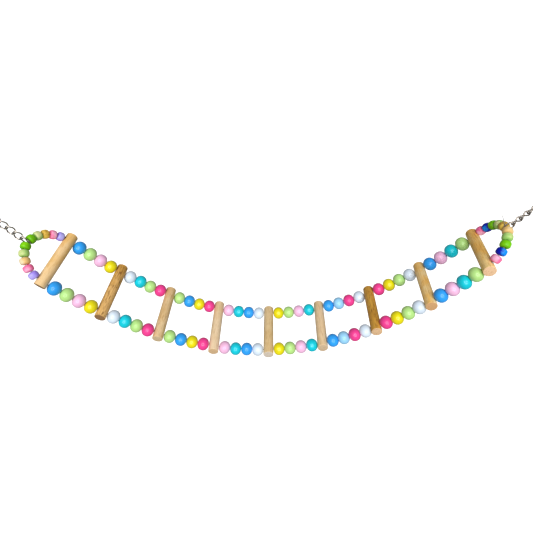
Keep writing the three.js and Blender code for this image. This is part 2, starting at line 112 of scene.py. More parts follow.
def closed_skin(rings, is_ring=False):
    """Joins rings of points into one closed mesh, with its ends capped unless it is a ring."""
    shape = bmesh.new()
    loops = [[shape.verts.new(point) for point in ring] for ring in rings]
    followers = loops[1:] + loops[:1] if is_ring else loops[1:]
    for low, high in zip(loops, followers):
        for i, corner in enumerate(low):
            j = (i + 1) % len(low)
            shape.faces.new((corner, low[j], high[j], high[i]))
    if not is_ring:
        shape.faces.new(list(reversed(loops[0])))
        shape.faces.new(loops[-1])
    bmesh.ops.recalc_face_normals(shape, faces=shape.faces)
    mesh = bpy.data.meshes.new("skin")
    shape.to_mesh(mesh)
    shape.free()
    return mesh


def turned_rings(profile, sides):
    """Rings round z from a profile of (radius, height), as a lathe makes them."""
    turns = [2 * math.pi * i / sides for i in range(sides)]
    return [
        [Vector((radius * math.cos(a), radius * math.sin(a), height)) for a in turns]
        for radius, height in profile
    ]


def new_piece(name, mesh, matrix, finish, slot, body, *nodes, crease=35):
    """A finished piece in its place, riding on its body and standing for its solids. An edge is
    sharp where it turns by more than the crease, in degrees."""
    mesh.name = name
    mesh.materials.append(finish)
    mesh.shade_smooth()
    mesh.set_sharp_from_angle(angle=math.radians(crease))
    piece = bpy.data.objects.new(name, mesh)
    bpy.context.scene.collection.objects.link(piece)
    piece.matrix_world = matrix
    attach(piece, body)
    if nodes:
        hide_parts(*nodes)


def linear(colour):
    """A colour given as sRGB hex, as the shader's linear red, green, blue and alpha."""
    parts = [int(colour[i:i + 2], 16) / 255 for i in (1, 3, 5)]
    return (*((c / 12.92 if c <= 0.04045 else ((c + 0.055) / 1.055) ** 2.4) for c in parts), 1)


def add(tree, kind, inputs={}, **settings):
    """Adds a node. An input is given a value, or another node's output to follow."""
    made = tree.nodes.new(kind)
    for name, value in settings.items():
        setattr(made, name, value)
    for name, value in inputs.items():
        if isinstance(value, bpy.types.NodeSocket):
            tree.links.new(value, made.inputs[name])
        else:
            made.inputs[name].default_value = value
    return made


def new_finish(name, **values):
    """A material and its shader, with the values that are the same all over the surface."""
    material = bpy.data.materials.new(name)
    material.use_nodes = True
    shader = material.node_tree.nodes["Principled BSDF"]
    for socket, value in values.items():
        shader.inputs[socket.replace("_", " ")].default_value = value
    return material, material.node_tree, shader


# Beech, sanded: pale pinkish tan, with fine fibres along the dowel, short dark ray flecks and
# soft bands where the growth rings are cut. It scatters light and barely shines. The sawn ends
# are duller and a little rough.
BEECH_IOR = 1.5
FIBRE_WIDTH = 0.45 * MM
FIBRE_STRETCH = 0.06
RING_SPACING = 1.9 * MM
FLECK_WIDTH = 0.95 * MM
FLECK_STRETCH = 0.16
BLOTCH_SIZE = 9 * MM
BLOTCH_STRETCH = 0.5
FIBRE_DEPTH = 0.06 * MM
BOARD_SHIFT = 13 * MM


def sanded_beech(name, pale, tan, mark, strength, end, drift, shift):
    """Beech with the dowel along z. The shift moves its pattern, as from another place in a board."""
    material, tree, shader = new_finish(name, IOR=BEECH_IOR)
    place = add(tree, "ShaderNodeTexCoord")
    along_fibres, along_flecks, along_blotches = (
        add(tree, "ShaderNodeMapping", {
            "Vector": place.outputs["Object"], "Location": (shift, 0.7 * shift, 0.3 * shift),
            "Scale": (1, 1, stretch),
        }).outputs[0]
        for stretch in (FIBRE_STRETCH, FLECK_STRETCH, BLOTCH_STRETCH)
    )
    fibres = add(tree, "ShaderNodeTexNoise", {
        "Vector": along_fibres, "Scale": 1 / FIBRE_WIDTH, "Detail": 4, "Roughness": 0.65,
    }).outputs["Fac"]
    rings = add(tree, "ShaderNodeTexWave", {
        "Vector": along_fibres, "Scale": math.pi / 10 / RING_SPACING,
        "Distortion": 6, "Detail": 2, "Detail Scale": 0.9,
    }, bands_direction="X")
    flecks = add(tree, "ShaderNodeTexNoise", {
        "Vector": along_flecks, "Scale": 1 / FLECK_WIDTH, "Detail": 2,
    })
    blotches = add(tree, "ShaderNodeTexNoise", {
        "Vector": along_blotches, "Scale": 1 / BLOTCH_SIZE, "Detail": 2,
    })
    lengthways = add(tree, "ShaderNodeSeparateXYZ", {"Vector": place.outputs["Object"]})
    drifting = add(tree, "ShaderNodeMath", {
        0: lengthways.outputs["Z"], 1: drift / RUNG_LENGTH, 2: blotches.outputs["Fac"],
    }, operation="MULTIPLY_ADD")
    facing = add(tree, "ShaderNodeSeparateXYZ", {"Vector": place.outputs["Normal"]})
    facing_out = add(tree, "ShaderNodeMath", {0: facing.outputs["Z"]}, operation="ABSOLUTE")
    # How much of each mark or tone shows: none below the least value, its full reach at the most
    fibre_share, ring_fibre_share, pore_share, fleck_share, blotch_share, sawn_share = (
        add(tree, "ShaderNodeMapRange", {
            "Value": value, "From Min": least, "From Max": most, "To Max": reach,
        }).outputs[0]
        for value, least, most, reach in (
            (fibres, 0.35, 0.65, 0.12 + 0.16 * strength), (fibres, 0.35, 0.65, 0.5 * strength),
            (fibres, 0.35, 0.65, 0.35), (flecks.outputs["Fac"], 0.53, 0.68, strength),
            (drifting.outputs[0], 0.4, 0.62, 1), (facing_out.outputs[0], 0.6, 0.85, 1),
        )
    )
    ring_share = add(tree, "ShaderNodeMath", {
        0: rings.outputs["Fac"], 1: ring_fibre_share,
    }, operation="MULTIPLY").outputs[0]
    sawn_wood = add(tree, "ShaderNodeMix", {
        "Factor": pore_share, "A": linear(end), "B": linear(mark),
    }, data_type="RGBA").outputs["Result"]
    tone = linear(pale)
    for share, over in (
        (blotch_share, linear(tan)), (fibre_share, linear(mark)), (ring_share, linear(mark)),
        (sawn_share, sawn_wood), (fleck_share, linear(mark)),
    ):
        tone = add(tree, "ShaderNodeMix", {
            "Factor": share, "A": tone, "B": over,
        }, data_type="RGBA").outputs["Result"]
    tree.links.new(tone, shader.inputs["Base Color"])
    dullness = add(tree, "ShaderNodeMapRange", {"Value": fibres, "To Min": 0.5, "To Max": 0.75})
    tree.links.new(dullness.outputs[0], shader.inputs["Roughness"])
    relief = add(tree, "ShaderNodeBump", {"Height": fibres, "Strength": 0.5, "Distance": FIBRE_DEPTH})
    tree.links.new(relief.outputs[0], shader.inputs["Normal"])
    return material


# Each rung's own wood: two body tones, its dark marks and their strength, its sawn ends, and how
# far the second tone gathers towards its far end
RUNG_WOODS = {
    1: ("#F6D39C", "#EDBF74", "#BB8841", 0.3, "#84643C", 0.45),
    2: ("#ECBC72", "#D4A048", "#714408", 0.85, "#9A744A", 0.45),
    3: ("#E6C99A", "#DBB67E", "#A27B45", 0.5, "#D2BE98", 0.1),
    4: ("#EED3AD", "#E5C696", "#B3905C", 0.4, "#D6B68C", 0.4),
    5: ("#E3C796", "#D9B880", "#AB844B", 0.45, "#D6CEC2", 0),
    6: ("#EDCFA4", "#E5C594", "#B28A56", 0.4, "#CEB898", 0.1),
    7: ("#DBA63E", "#C8902C", "#74480A", 0.7, "#E6C094", 0),
    8: ("#FFE0A0", "#FAC464", "#B37825", 0.35, "#CEA474", 0.15),
    9: ("#FFDC90", "#FFC664", "#965F1C", 0.4, "#F2CCA2", 0),
}


def drilled_dowel():
    """A dowel along z with its edges rounded over and a hole along x for each rail's wire."""
    radius = RUNG_DIAMETER / 2
    corner = radius - RUNG_EDGE
    half = RUNG_LENGTH / 2
    quarter = [math.pi / 2 * i / EDGE_STEPS for i in range(EDGE_STEPS + 1)]
    top = [
        (corner + RUNG_EDGE * math.cos(a), half - RUNG_EDGE + RUNG_EDGE * math.sin(a))
        for a in quarter
    ]
    profile = [(r, -h) for r, h in reversed(top)] + top
    dowel = bpy.data.objects.new("dowel_blank", closed_skin(turned_rings(profile, RUNG_SIDES)))
    bpy.context.scene.collection.objects.link(dowel)
    drills = []
    for side in (-1, 1):
        bore = [(RUNG_HOLE / 2, -RUNG_DIAMETER), (RUNG_HOLE / 2, RUNG_DIAMETER)]
        drill = bpy.data.objects.new("drill", closed_skin(turned_rings(bore, HOLE_SIDES)))
        bpy.context.scene.collection.objects.link(drill)
        drill.matrix_world = (
            Matrix.Translation((0, 0, side * RAIL_SPACING / 2)) @ Matrix.Rotation(math.pi / 2, 4, "Y")
        )
        cut = dowel.modifiers.new("drill", "BOOLEAN")
        cut.object = drill
        cut.solver = "EXACT"
        drills.append(drill)
    bpy.context.view_layer.update()
    seen = dowel.evaluated_get(bpy.context.evaluated_depsgraph_get())
    mesh = bpy.data.meshes.new_from_object(seen)
    for helper in (dowel, *drills):
        bpy.data.objects.remove(helper)
    return mesh


dowel_mesh = drilled_dowel()
for number in range(1, RUNG_COUNT + 1):
    middle, along, across = hanging_line(rung_distance(number))
    if number in LOOP_LIFT:
        outward = math.copysign(1, number - MIDDLE_RUNG)
        along = Matrix.Rotation(-outward * LOOP_LIFT[number] / 2, 3, across) @ along
    mesh = dowel_mesh.copy()
    for corner in mesh.vertices:
        if number == SLANTED_RUNG and corner.co.z < SAW_REACH - RUNG_LENGTH / 2:
            corner.co.z += (RUNG_DIAMETER / 2 + corner.co.y) * math.tan(SAW_SLANT)
    finish = sanded_beech(f"sanded_beech_{number}", *RUNG_WOODS[number], BOARD_SHIFT * number)
    new_piece(
        f"beech_rung_{number}", mesh, set_up(middle, along, across.cross(along), across),
        finish, "beech_dowel", f"rung_{number}", f"rung_{number}", crease=50,
    )

# Wire of the rails. Galvanised steel, soft enough to bend by hand, runs through the rungs and
# the beads and holds the shape that the ladder is bent to. It is cut here at each rung's axis.
WIRE_DIAMETER = 1.2 * MM
WIRE_SIDES = 12
WIRE_STEPS = 24
WIRE_END_GAP = 0.5 * MM


def swept_rings(stations, sides):
    """Rings of a round section along (centre, travel, side, radius) stations."""
    rings = []
    for centre, travel, side, radius in stations:
        first = (side - travel * side.dot(travel)).normalized()
        second = travel.cross(first).normalized()
        rings.append([
            centre + radius * (math.cos(a) * first + math.sin(a) * second)
            for a in (2 * math.pi * i / sides for i in range(sides))
        ])
    return rings


# Zinc gives the wire a dull, slightly blotched grey that is brighter where it has been rubbed.
ZINC_BLOTCH = 0.8 * MM
ZINC_GRAIN = 0.12 * MM
ZINC_DEPTH = 0.02 * MM


def galvanised_steel(name, dull, bright):
    material, tree, shader = new_finish(name, Metallic=1)
    place = add(tree, "ShaderNodeTexCoord").outputs["Object"]
    blotches = add(tree, "ShaderNodeTexNoise", {"Vector": place, "Scale": 1 / ZINC_BLOTCH, "Detail": 3})
    grain = add(tree, "ShaderNodeTexNoise", {"Vector": place, "Scale": 1 / ZINC_GRAIN, "Detail": 2})
    tone = add(tree, "ShaderNodeMix", {
        "Factor": blotches.outputs["Fac"], "A": linear(dull), "B": linear(bright),
    }, data_type="RGBA")
    dullness = add(tree, "ShaderNodeMapRange", {
        "Value": blotches.outputs["Fac"], "To Min": 0.35, "To Max": 0.6,
    })
    relief = add(tree, "ShaderNodeBump", {
        "Height": grain.outputs["Fac"], "Strength": 0.3, "Distance": ZINC_DEPTH,
    })
    tree.links.new(tone.outputs["Result"], shader.inputs["Base Color"])
    tree.links.new(dullness.outputs[0], shader.inputs["Roughness"])
    tree.links.new(relief.outputs[0], shader.inputs["Normal"])
    return material


zinc = galvanised_steel("galvanised_steel", dull="#9EA1A4", bright="#C9CBCC")
rails = {"near": -1, "far": 1}


def rail_line(side, distance):
    """A rail's wire at a distance along the ladder: its centre, its travel and its side."""
    middle, along, across = hanging_line(distance)
    return middle + across * (side * RAIL_SPACING / 2), along, across


for rail, side in rails.items():
    for bay in range(1, RUNG_COUNT):
        start = rung_distance(bay) + WIRE_END_GAP / 2
        reach = RUNG_PITCH - WIRE_END_GAP
        stations = [
            (*rail_line(side, start + reach * i / WIRE_STEPS), WIRE_DIAMETER / 2)
            for i in range(WIRE_STEPS + 1)
        ]
        new_piece(
            f"{rail}_wire_{bay}", closed_skin(swept_rings(stations, WIRE_SIDES)), Matrix(),
            zinc, "galvanised_wire", f"bay_{bay}", f"{rail}_rail_{bay}",
        )

# Rail beads. Turned wooden balls with a drilled hole, a little wider than they are long, tumbled
# in gloss paint. Four sit in each bay of both rails, with the same colours across the ladder.
BEAD_DIAMETER = 12.8 * MM
BEAD_LENGTH = 10.8 * MM
BEAD_FULLNESS = 2.15
BEAD_HOLE = 3 * MM
BEAD_LIP = 0.5 * MM
BEAD_GAP = 0.23 * MM
RUNNING_GAP = 0.3 * MM
BEAD_SIDES = 48
BEAD_STEPS = 28
LIP_STEPS = 4
HOLE_STEPS = 3
MOST_TILT = math.radians(2.2)
MOST_SHIFT = 0.22 * MM

BLUE, LIGHT_GREEN, PINK, YELLOW = "blue", "light_green", "pink", "yellow"
WHITE, TEAL, HOT_PINK, LIGHT_BLUE = "white", "teal", "hot_pink", "light_blue"
BAY_COLOURS = (
    (BLUE, LIGHT_GREEN, PINK, YELLOW),
    (WHITE, TEAL, LIGHT_GREEN, HOT_PINK),
    (LIGHT_GREEN, BLUE, YELLOW, HOT_PINK),
    (PINK, TEAL, BLUE, WHITE),
    (YELLOW, LIGHT_GREEN, PINK, TEAL),
    (BLUE, LIGHT_BLUE, HOT_PINK, WHITE),
    (HOT_PINK, YELLOW, LIGHT_GREEN, WHITE),
    (BLUE, PINK, TEAL, LIGHT_GREEN),
)
PAINTS = {
    BLUE: "#2A9DEF", LIGHT_GREEN: "#B2DF84", PINK: "#F0B9DD", YELLOW: "#E5D801",
    WHITE: "#D4E3F2", TEAL: "#00C6D7", HOT_PINK: "#EB3C8F", LIGHT_BLUE: "#95CFF3",
}

# Gloss paint that has been tumbled on: an even, strong colour with a soft, wide shine, a slight
# orange peel, spots where it is thin and darker, bare wood at the hole's lip, a dark speck or two.
PAINT_IOR = 1.49
PAINT_ROUGHNESS = 0.3
PEEL_SIZE = 0.7 * MM
PEEL_DEPTH = 0.03 * MM
THIN_SPOT = 4 * MM
SPECK = "#3A2A22"
SPECK_SPACING = 9 * MM
SPECK_RADIUS = 0.32 * MM
SPECK_SHARE = 0.12
BARE_WOOD = "#D9B98A"
BARE_ROUGHNESS = 0.75
BARE_WIDTH = 0.3 * MM
WORN_WIDTH = 0.75 * MM
WORN_RAGGEDNESS = 0.8 * MM


def own_pattern(tree):
    """A point on the piece, and that point moved by a chance that each piece has to itself, so that
    no two pieces are patterned alike."""
    place = add(tree, "ShaderNodeTexCoord").outputs["Object"]
    chance = add(tree, "ShaderNodeObjectInfo").outputs["Random"]
    away = add(tree, "ShaderNodeCombineXYZ", {"X": chance, "Y": chance, "Z": chance})
    moved = add(tree, "ShaderNodeVectorMath", {0: place, 1: away.outputs[0]}, operation="ADD")
    return place, moved.outputs[0]


def gloss_paint(name, paint):
    """Paint on a rail bead, whose hole runs along its own z."""
    material, tree, shader = new_finish(name, IOR=PAINT_IOR)
    place, moved = own_pattern(tree)
    thin = add(tree, "ShaderNodeTexNoise", {"Vector": moved, "Scale": 1 / THIN_SPOT, "Detail": 3})
    tone = add(tree, "ShaderNodeMapRange", {
        "Value": thin.outputs["Fac"], "From Min": 0.25, "From Max": 0.75,
        "To Min": 0.9, "To Max": 1.06,
    })
    coat = add(tree, "ShaderNodeHueSaturation", {"Color": linear(paint), "Value": tone.outputs[0]})
    cells = add(tree, "ShaderNodeTexVoronoi", {"Vector": moved, "Scale": 1 / SPECK_SPACING})
    near = add(tree, "ShaderNodeMath", {
        0: cells.outputs["Distance"], 1: SPECK_RADIUS / SPECK_SPACING,
    }, operation="LESS_THAN")
    dealt = add(tree, "ShaderNodeSeparateColor", {"Color": cells.outputs["Color"]})
    picked = add(tree, "ShaderNodeMath", {
        0: dealt.outputs[0], 1: SPECK_SHARE,
    }, operation="LESS_THAN")
    speck = add(tree, "ShaderNodeMath", {
        0: near.outputs[0], 1: picked.outputs[0],
    }, operation="MULTIPLY")
    specked = add(tree, "ShaderNodeMix", {
        "Factor": speck.outputs[0], "A": coat.outputs[0], "B": linear(SPECK),
    }, data_type="RGBA")
    apart = add(tree, "ShaderNodeSeparateXYZ", {"Vector": place})
    squares = [
        add(tree, "ShaderNodeMath", {0: apart.outputs[i], 1: 2}, operation="POWER").outputs[0]
        for i in (0, 1)
    ]
    square = add(tree, "ShaderNodeMath", {0: squares[0], 1: squares[1]}, operation="ADD")
    from_axis = add(tree, "ShaderNodeMath", {0: square.outputs[0], 1: 0.5}, operation="POWER")
    ragged = add(tree, "ShaderNodeMath", {
        0: thin.outputs["Fac"], 1: WORN_RAGGEDNESS, 2: from_axis.outputs[0],
    }, operation="MULTIPLY_ADD")
    bare = add(tree, "ShaderNodeMapRange", {
        "Value": ragged.outputs[0], "From Min": BEAD_HOLE / 2 + BARE_WIDTH,
        "From Max": BEAD_HOLE / 2 + WORN_WIDTH, "To Min": 1, "To Max": 0,
    })
    worn = add(tree, "ShaderNodeMix", {
        "Factor": bare.outputs[0], "A": specked.outputs["Result"], "B": linear(BARE_WOOD),
    }, data_type="RGBA")
    tree.links.new(worn.outputs["Result"], shader.inputs["Base Color"])
    dullness = add(tree, "ShaderNodeMapRange", {
        "Value": bare.outputs[0], "To Min": PAINT_ROUGHNESS, "To Max": BARE_ROUGHNESS,
    })
    tree.links.new(dullness.outputs[0], shader.inputs["Roughness"])
    peel = add(tree, "ShaderNodeTexNoise", {"Vector": moved, "Scale": 1 / PEEL_SIZE, "Detail": 1})
    relief = add(tree, "ShaderNodeBump", {
        "Height": peel.outputs["Fac"], "Strength": 0.12, "Distance": PEEL_DEPTH,
    })
    tree.links.new(relief.outputs[0], shader.inputs["Normal"])
    return material


def bored_bead(diameter, length, hole, lip, fullness, sides):
    """A bead along z. Its outline is a rounded oval, fuller at the shoulders where fullness is
    over 2, cut off at the length, with a rounded lip into a straight hole."""
    face = hole / 2 + lip
    reach = length / 2 / (1 - (2 * face / diameter) ** fullness) ** (1 / fullness)
    steepest = math.asin(min(1, length / 2 / reach))
    outline = []
    for i in range(BEAD_STEPS + 1):
        height = reach * math.sin(steepest * (2 * i / BEAD_STEPS - 1))
        share = (1 - abs(height / reach) ** fullness) ** (1 / fullness)
        outline.append((diameter / 2 * share, height))
    lip_turn = [math.pi / 2 * i / LIP_STEPS for i in range(1, LIP_STEPS + 1)]
    top_lip = [
        (face - lip * math.sin(a), length / 2 - lip * (1 - math.cos(a))) for a in lip_turn
    ]
    bore_from = length / 2 - lip
    bore = [
        (hole / 2, bore_from * (1 - 2 * i / HOLE_STEPS)) for i in range(1, HOLE_STEPS)
    ]
    low_lip = [(radius, -height) for radius, height in reversed(top_lip)]
    return closed_skin(turned_rings(outline + top_lip + bore + low_lip, sides), is_ring=True)


def askew(matrix, most_shift):
    """A bead never sits quite square or centred on its wire."""
    tilts = [Matrix.Rotation(chances.uniform(-MOST_TILT, MOST_TILT), 4, axis) for axis in "XY"]
    shift = Matrix.Translation([chances.uniform(-most_shift, most_shift) for _ in "XY"] + [0])
    return matrix @ shift @ tilts[0] @ tilts[1]


bead_mesh = bored_bead(BEAD_DIAMETER, BEAD_LENGTH, BEAD_HOLE, BEAD_LIP, BEAD_FULLNESS, BEAD_SIDES)
rail_paints = {name: gloss_paint(f"gloss_paint_{name}", paint) for name, paint in PAINTS.items()}
chances = random.Random(12)
for rail, side in rails.items():
    for bay, colours in enumerate(BAY_COLOURS, start=1):
        for place, colour in enumerate(colours):
            bead_start = RUNG_DIAMETER / 2 + RUNNING_GAP + place * (BEAD_LENGTH + BEAD_GAP)
            bead_middle = rung_distance(bay) + bead_start + BEAD_LENGTH / 2
            centre, travel, across = rail_line(side, bead_middle)
            matrix = set_up(centre, across, travel.cross(across), travel)
            new_piece(
                f"{rail}_bead_{bay}_{place + 1}", bead_mesh.copy(),
                askew(matrix, MOST_SHIFT),
                rail_paints[colour], f"painted_{colour}_bead", f"bay_{bay}", f"{rail}_rail_{bay}",
            )

# End loops. The wire of one rail turns back through the end rung into the other rail, and on
# the turn it carries smaller barrel beads, with bare wire at the crown where the chain hangs.
LOOP_BEADS_PER_SIDE = 5
LOOP_BEAD_DIAMETER = 8.3 * MM
LOOP_BEAD_LENGTH = 6.2 * MM
LOOP_BEAD_FULLNESS = 3.1
LOOP_BEAD_HOLE = 1.9 * MM
LOOP_BEAD_LIP = 0.35 * MM
LOOP_BEAD_GAP = 0.45 * MM
LOOP_BEAD_SIDES = 40
LOOP_FIRST_GAP = 0.5 * MM
MOST_SPIN = math.radians(35)
LOOP_LEAN = -0.7 * MM
LOOP_SAMPLES = 1200
HEIGHT_HALVINGS = 40
LOOP_WIRE_STEPS = 4 * WIRE_STEPS
LINK_WIRE = 1.2 * MM
CHAIN_SLOT_EASE = 0.25 * MM

LILAC, ROSE, TAN, GOLD = "lilac", "rose", "tan", "gold"
PALE_GREEN, DARK_GREEN = "pale_green", "dark_green"
ROYAL_BLUE, BRIGHT_GREEN = "royal_blue", "bright_green"
LOOP_COLOURS = {
    "left": (LILAC, ROSE, TAN, PALE_GREEN, DARK_GREEN, DARK_GREEN, PALE_GREEN, GOLD, ROSE, LILAC),
    "right": (
        ROSE, ROYAL_BLUE, BRIGHT_GREEN, PALE_GREEN, TAN, GOLD, PALE_GREEN, DARK_GREEN, ROYAL_BLUE,
        ROSE,
    ),
}
# Each small bead's colour, and the colour on its side towards the camera and lamps: partly its own
# second tint, partly painted sheen
STAINS = {
    LILAC: ("#A08AF0", "#B6AEF0"), ROSE: ("#FA6EA4", "#F4B0CC"), TAN: ("#E8BE78", "#E4D4AC"),
    GOLD: ("#ECC652", "#DAB048"), PALE_GREEN: ("#A2D070", "#CED690"),
    DARK_GREEN: ("#6ABA02", "#88DA04"), ROYAL_BLUE: ("#0018B0", "#0490F4"),
    BRIGHT_GREEN: ("#7CCE02", "#70C602"),
}
# The gold beads are passed the tan beads' slot name
SLOTS = {GOLD: "painted_tan_bead"}

loop_start = RUNG_DIAMETER / 2 + LOOP_FIRST_GAP
loop_row = LOOP_BEADS_PER_SIDE * LOOP_BEAD_LENGTH + (LOOP_BEADS_PER_SIDE - 1) * LOOP_BEAD_GAP
chain_slot = LINK_WIRE + 2 * (RUNNING_GAP + CHAIN_SLOT_EASE)
loop_length = 2 * (loop_start + loop_row) + chain_slot


def loop_outline(height):
    """Half an oval, leaning to one side, as (across, out) points and the distances to them."""
    points = []
    for i in range(LOOP_SAMPLES + 1):
        turn = math.pi * i / LOOP_SAMPLES
        sideways = LOOP_LEAN * math.sin(turn) ** 2 - RAIL_SPACING / 2 * math.cos(turn)
        points.append(Vector((sideways, height * math.sin(turn))))
    distances = [0.0]
    for before, after in zip(points, points[1:]):
        distances.append(distances[-1] + (after - before).length)
    return points, distances


def fitted_outline():
    """The loop is as high as its beads make it."""
    low, high = 0, loop_length
    for _ in range(HEIGHT_HALVINGS):
        height = (low + high) / 2
        if loop_outline(height)[1][-1] < loop_length:
            low = height
        else:
            high = height
    return loop_outline(low)


def loop_line(end):
    """A function that gives the loop's wire at a distance along it, near rail first."""
    outward, number = {"left": (-1, 1), "right": (1, RUNG_COUNT)}[end]
    root, along, across = hanging_line(rung_distance(number))
    out = Matrix.Rotation(-outward * LOOP_LIFT[number], 3, across) @ (outward * along)
    points, distances = fitted_outline()

    def at(distance):
        i = max(1, min(LOOP_SAMPLES, sum(d < distance for d in distances)))
        share = (distance - distances[i - 1]) / (distances[i] - distances[i - 1])
        flat = points[i - 1].lerp(points[i], share)
        heading = (points[i] - points[i - 1]).normalized()
        centre = root + across * flat.x + out * flat.y
        travel = across * heading.x + out * heading.y
        return centre, travel, across.cross(out)

    return at


# Stain under thin clear lacquer: the wood's grain and a second tint show through it, so that a
# bead is never one colour all round. The tint is put on the side that faces the camera and lamps,
# so it is partly a painted sheen. It has sunk in, so it shines less than the paint.
LEAST_LACQUER_ROUGHNESS = 0.3
MOST_LACQUER_ROUGHNESS = 0.44
LACQUER_SPECULAR = 0.25
# The side facing up towards the camera and lamps, where the tint shows partly as painted sheen
TINT_AND_SHEEN_SIDE = Vector((0, -1, 1)).normalized()
TINT_SIZE = 6 * MM
TINT_AND_SHEEN_FROM = 0.78 * LOOP_BEAD_DIAMETER
TINT_AND_SHEEN_TO = 1.02 * LOOP_BEAD_DIAMETER
GRAIN_WIDTH = 0.35 * MM
GRAIN_STRETCH = 0.12
GRAIN_DEPTH = 0.03 * MM
KNOT = "#6E3B12"
KNOT_SIZE = 1.6 * MM
GOLD_KNOTS = 0.6


def lacquered_stain(name, stain, tint, knots):
    """Stain on a bead whose hole runs along z. The tint gathers on its +x side, which is turned to face
    the camera and lamps, so it is partly a painted sheen; knots is how dark its knots are, from 0 to 1."""
    material, tree, shader = new_finish(name, IOR=PAINT_IOR, Specular_IOR_Level=LACQUER_SPECULAR)
    place, moved = own_pattern(tree)
    patches = add(tree, "ShaderNodeTexNoise", {"Vector": moved, "Scale": 1 / TINT_SIZE, "Detail": 2})
    towards_lit_side = add(tree, "ShaderNodeSeparateXYZ", {"Vector": place}).outputs["X"]
    uneven = add(tree, "ShaderNodeMath", {
        0: patches.outputs["Fac"], 1: LOOP_BEAD_DIAMETER, 2: towards_lit_side,
    }, operation="MULTIPLY_ADD")
    tint_and_sheen_share = add(tree, "ShaderNodeMapRange", {
        "Value": uneven.outputs[0], "From Min": TINT_AND_SHEEN_FROM, "From Max": TINT_AND_SHEEN_TO,
    })
    stained = add(tree, "ShaderNodeMix", {
        "Factor": tint_and_sheen_share.outputs[0], "A": linear(stain), "B": linear(tint),
    }, data_type="RGBA")
    drawn_out = add(tree, "ShaderNodeMapping", {"Vector": moved, "Scale": (1, 1, GRAIN_STRETCH)})
    grain = add(tree, "ShaderNodeTexNoise", {
        "Vector": drawn_out.outputs[0], "Scale": 1 / GRAIN_WIDTH, "Detail": 2,
    })
    tone = add(tree, "ShaderNodeMapRange", {
        "Value": grain.outputs["Fac"], "From Min": 0.3, "From Max": 0.7,
        "To Min": 0.88, "To Max": 1.05,
    })
    grained = add(tree, "ShaderNodeHueSaturation", {
        "Color": stained.outputs["Result"], "Value": tone.outputs[0],
    })
    lumps = add(tree, "ShaderNodeTexNoise", {"Vector": moved, "Scale": 1 / KNOT_SIZE, "Detail": 1})
    knot_share = add(tree, "ShaderNodeMapRange", {
        "Value": lumps.outputs["Fac"], "From Min": 0.58, "From Max": 0.66, "To Max": knots,
    })
    knotted = add(tree, "ShaderNodeMix", {
        "Factor": knot_share.outputs[0], "A": grained.outputs[0], "B": linear(KNOT),
    }, data_type="RGBA")
    tree.links.new(knotted.outputs["Result"], shader.inputs["Base Color"])
    dullness = add(tree, "ShaderNodeMapRange", {
        "Value": grain.outputs["Fac"],
        "To Min": LEAST_LACQUER_ROUGHNESS, "To Max": MOST_LACQUER_ROUGHNESS,
    })
    tree.links.new(dullness.outputs[0], shader.inputs["Roughness"])
    relief = add(tree, "ShaderNodeBump", {
        "Height": grain.outputs["Fac"], "Strength": 0.18, "Distance": GRAIN_DEPTH,
    })
    tree.links.new(relief.outputs[0], shader.inputs["Normal"])
    return material


small_bead_mesh = bored_bead(
    LOOP_BEAD_DIAMETER, LOOP_BEAD_LENGTH, LOOP_BEAD_HOLE, LOOP_BEAD_LIP, LOOP_BEAD_FULLNESS,
    LOOP_BEAD_SIDES,
)
stains = {
    name: lacquered_stain(f"lacquered_{name}", *colours, GOLD_KNOTS if name == GOLD else 0)
    for name, colours in STAINS.items()
}
loops = {end: loop_line(end) for end in ("left", "right")}
for end, at in loops.items():
    node = f"{end}_end_loop"
    body = f"{end}_loop"
    wire_reach = loop_length - WIRE_END_GAP
    stations = [
        (*at(WIRE_END_GAP / 2 + wire_reach * i / LOOP_WIRE_STEPS), WIRE_DIAMETER / 2)
        for i in range(LOOP_WIRE_STEPS + 1)
    ]
    new_piece(
        f"{end}_loop_wire", closed_skin(swept_rings(stations, WIRE_SIDES)), Matrix(),
        zinc, "galvanised_wire", body, node,
    )
    for place, colour in enumerate(LOOP_COLOURS[end]):
        past_crown = chain_slot - LOOP_BEAD_GAP if place >= LOOP_BEADS_PER_SIDE else 0
        bead_start = loop_start + place * (LOOP_BEAD_LENGTH + LOOP_BEAD_GAP) + past_crown
        centre, travel, _ = at(bead_start + LOOP_BEAD_LENGTH / 2)
        # Each bead's +x is turned to that lit side, so its tint lies where a painted sheen would
        side = (TINT_AND_SHEEN_SIDE - travel * TINT_AND_SHEEN_SIDE.dot(travel)).normalized()
        spin = Matrix.Rotation(chances.uniform(-MOST_SPIN, MOST_SPIN), 4, "Z")
        matrix = set_up(centre, side, travel.cross(side), travel) @ spin
        new_piece(
            f"{end}_loop_bead_{place + 1}", small_bead_mesh.copy(),
            askew(matrix, MOST_SHIFT / 2),
            stains[colour], SLOTS.get(colour, f"painted_{colour}_bead"), body, node,
        )

# The wire's cut end. Where the right loop is closed, the nipped end of the wire stands up
# beside the crown, drawn thinner by the cutters, in a lighter copy of the zinc: painted highlight.
TAIL_LENGTH = 13 * MM
TAIL_DIAMETER = 0.8 * MM
TAIL_LEAN_ALONG = math.radians(-28)
TAIL_LEAN_AWAY = math.radians(6)
TAIL_TAPER = 0.55
TAIL_STEPS = 8
crown, crown_travel, _ = loops["right"](loop_length / 2)
tail_root = crown + crown_travel * (chain_slot / 2 + WIRE_DIAMETER / 2)
tail_way = Vector((math.tan(TAIL_LEAN_ALONG), math.tan(TAIL_LEAN_AWAY), 1)).normalized()
tail_stations = []
for i in range(TAIL_STEPS + 1):
    share = i / TAIL_STEPS
    slimmer = 1 - TAIL_TAPER * share
    tail_stations.append((
        tail_root + tail_way * (TAIL_LENGTH * share), tail_way, Vector((0, 1, 0)),
        TAIL_DIAMETER / 2 * slimmer,
    ))
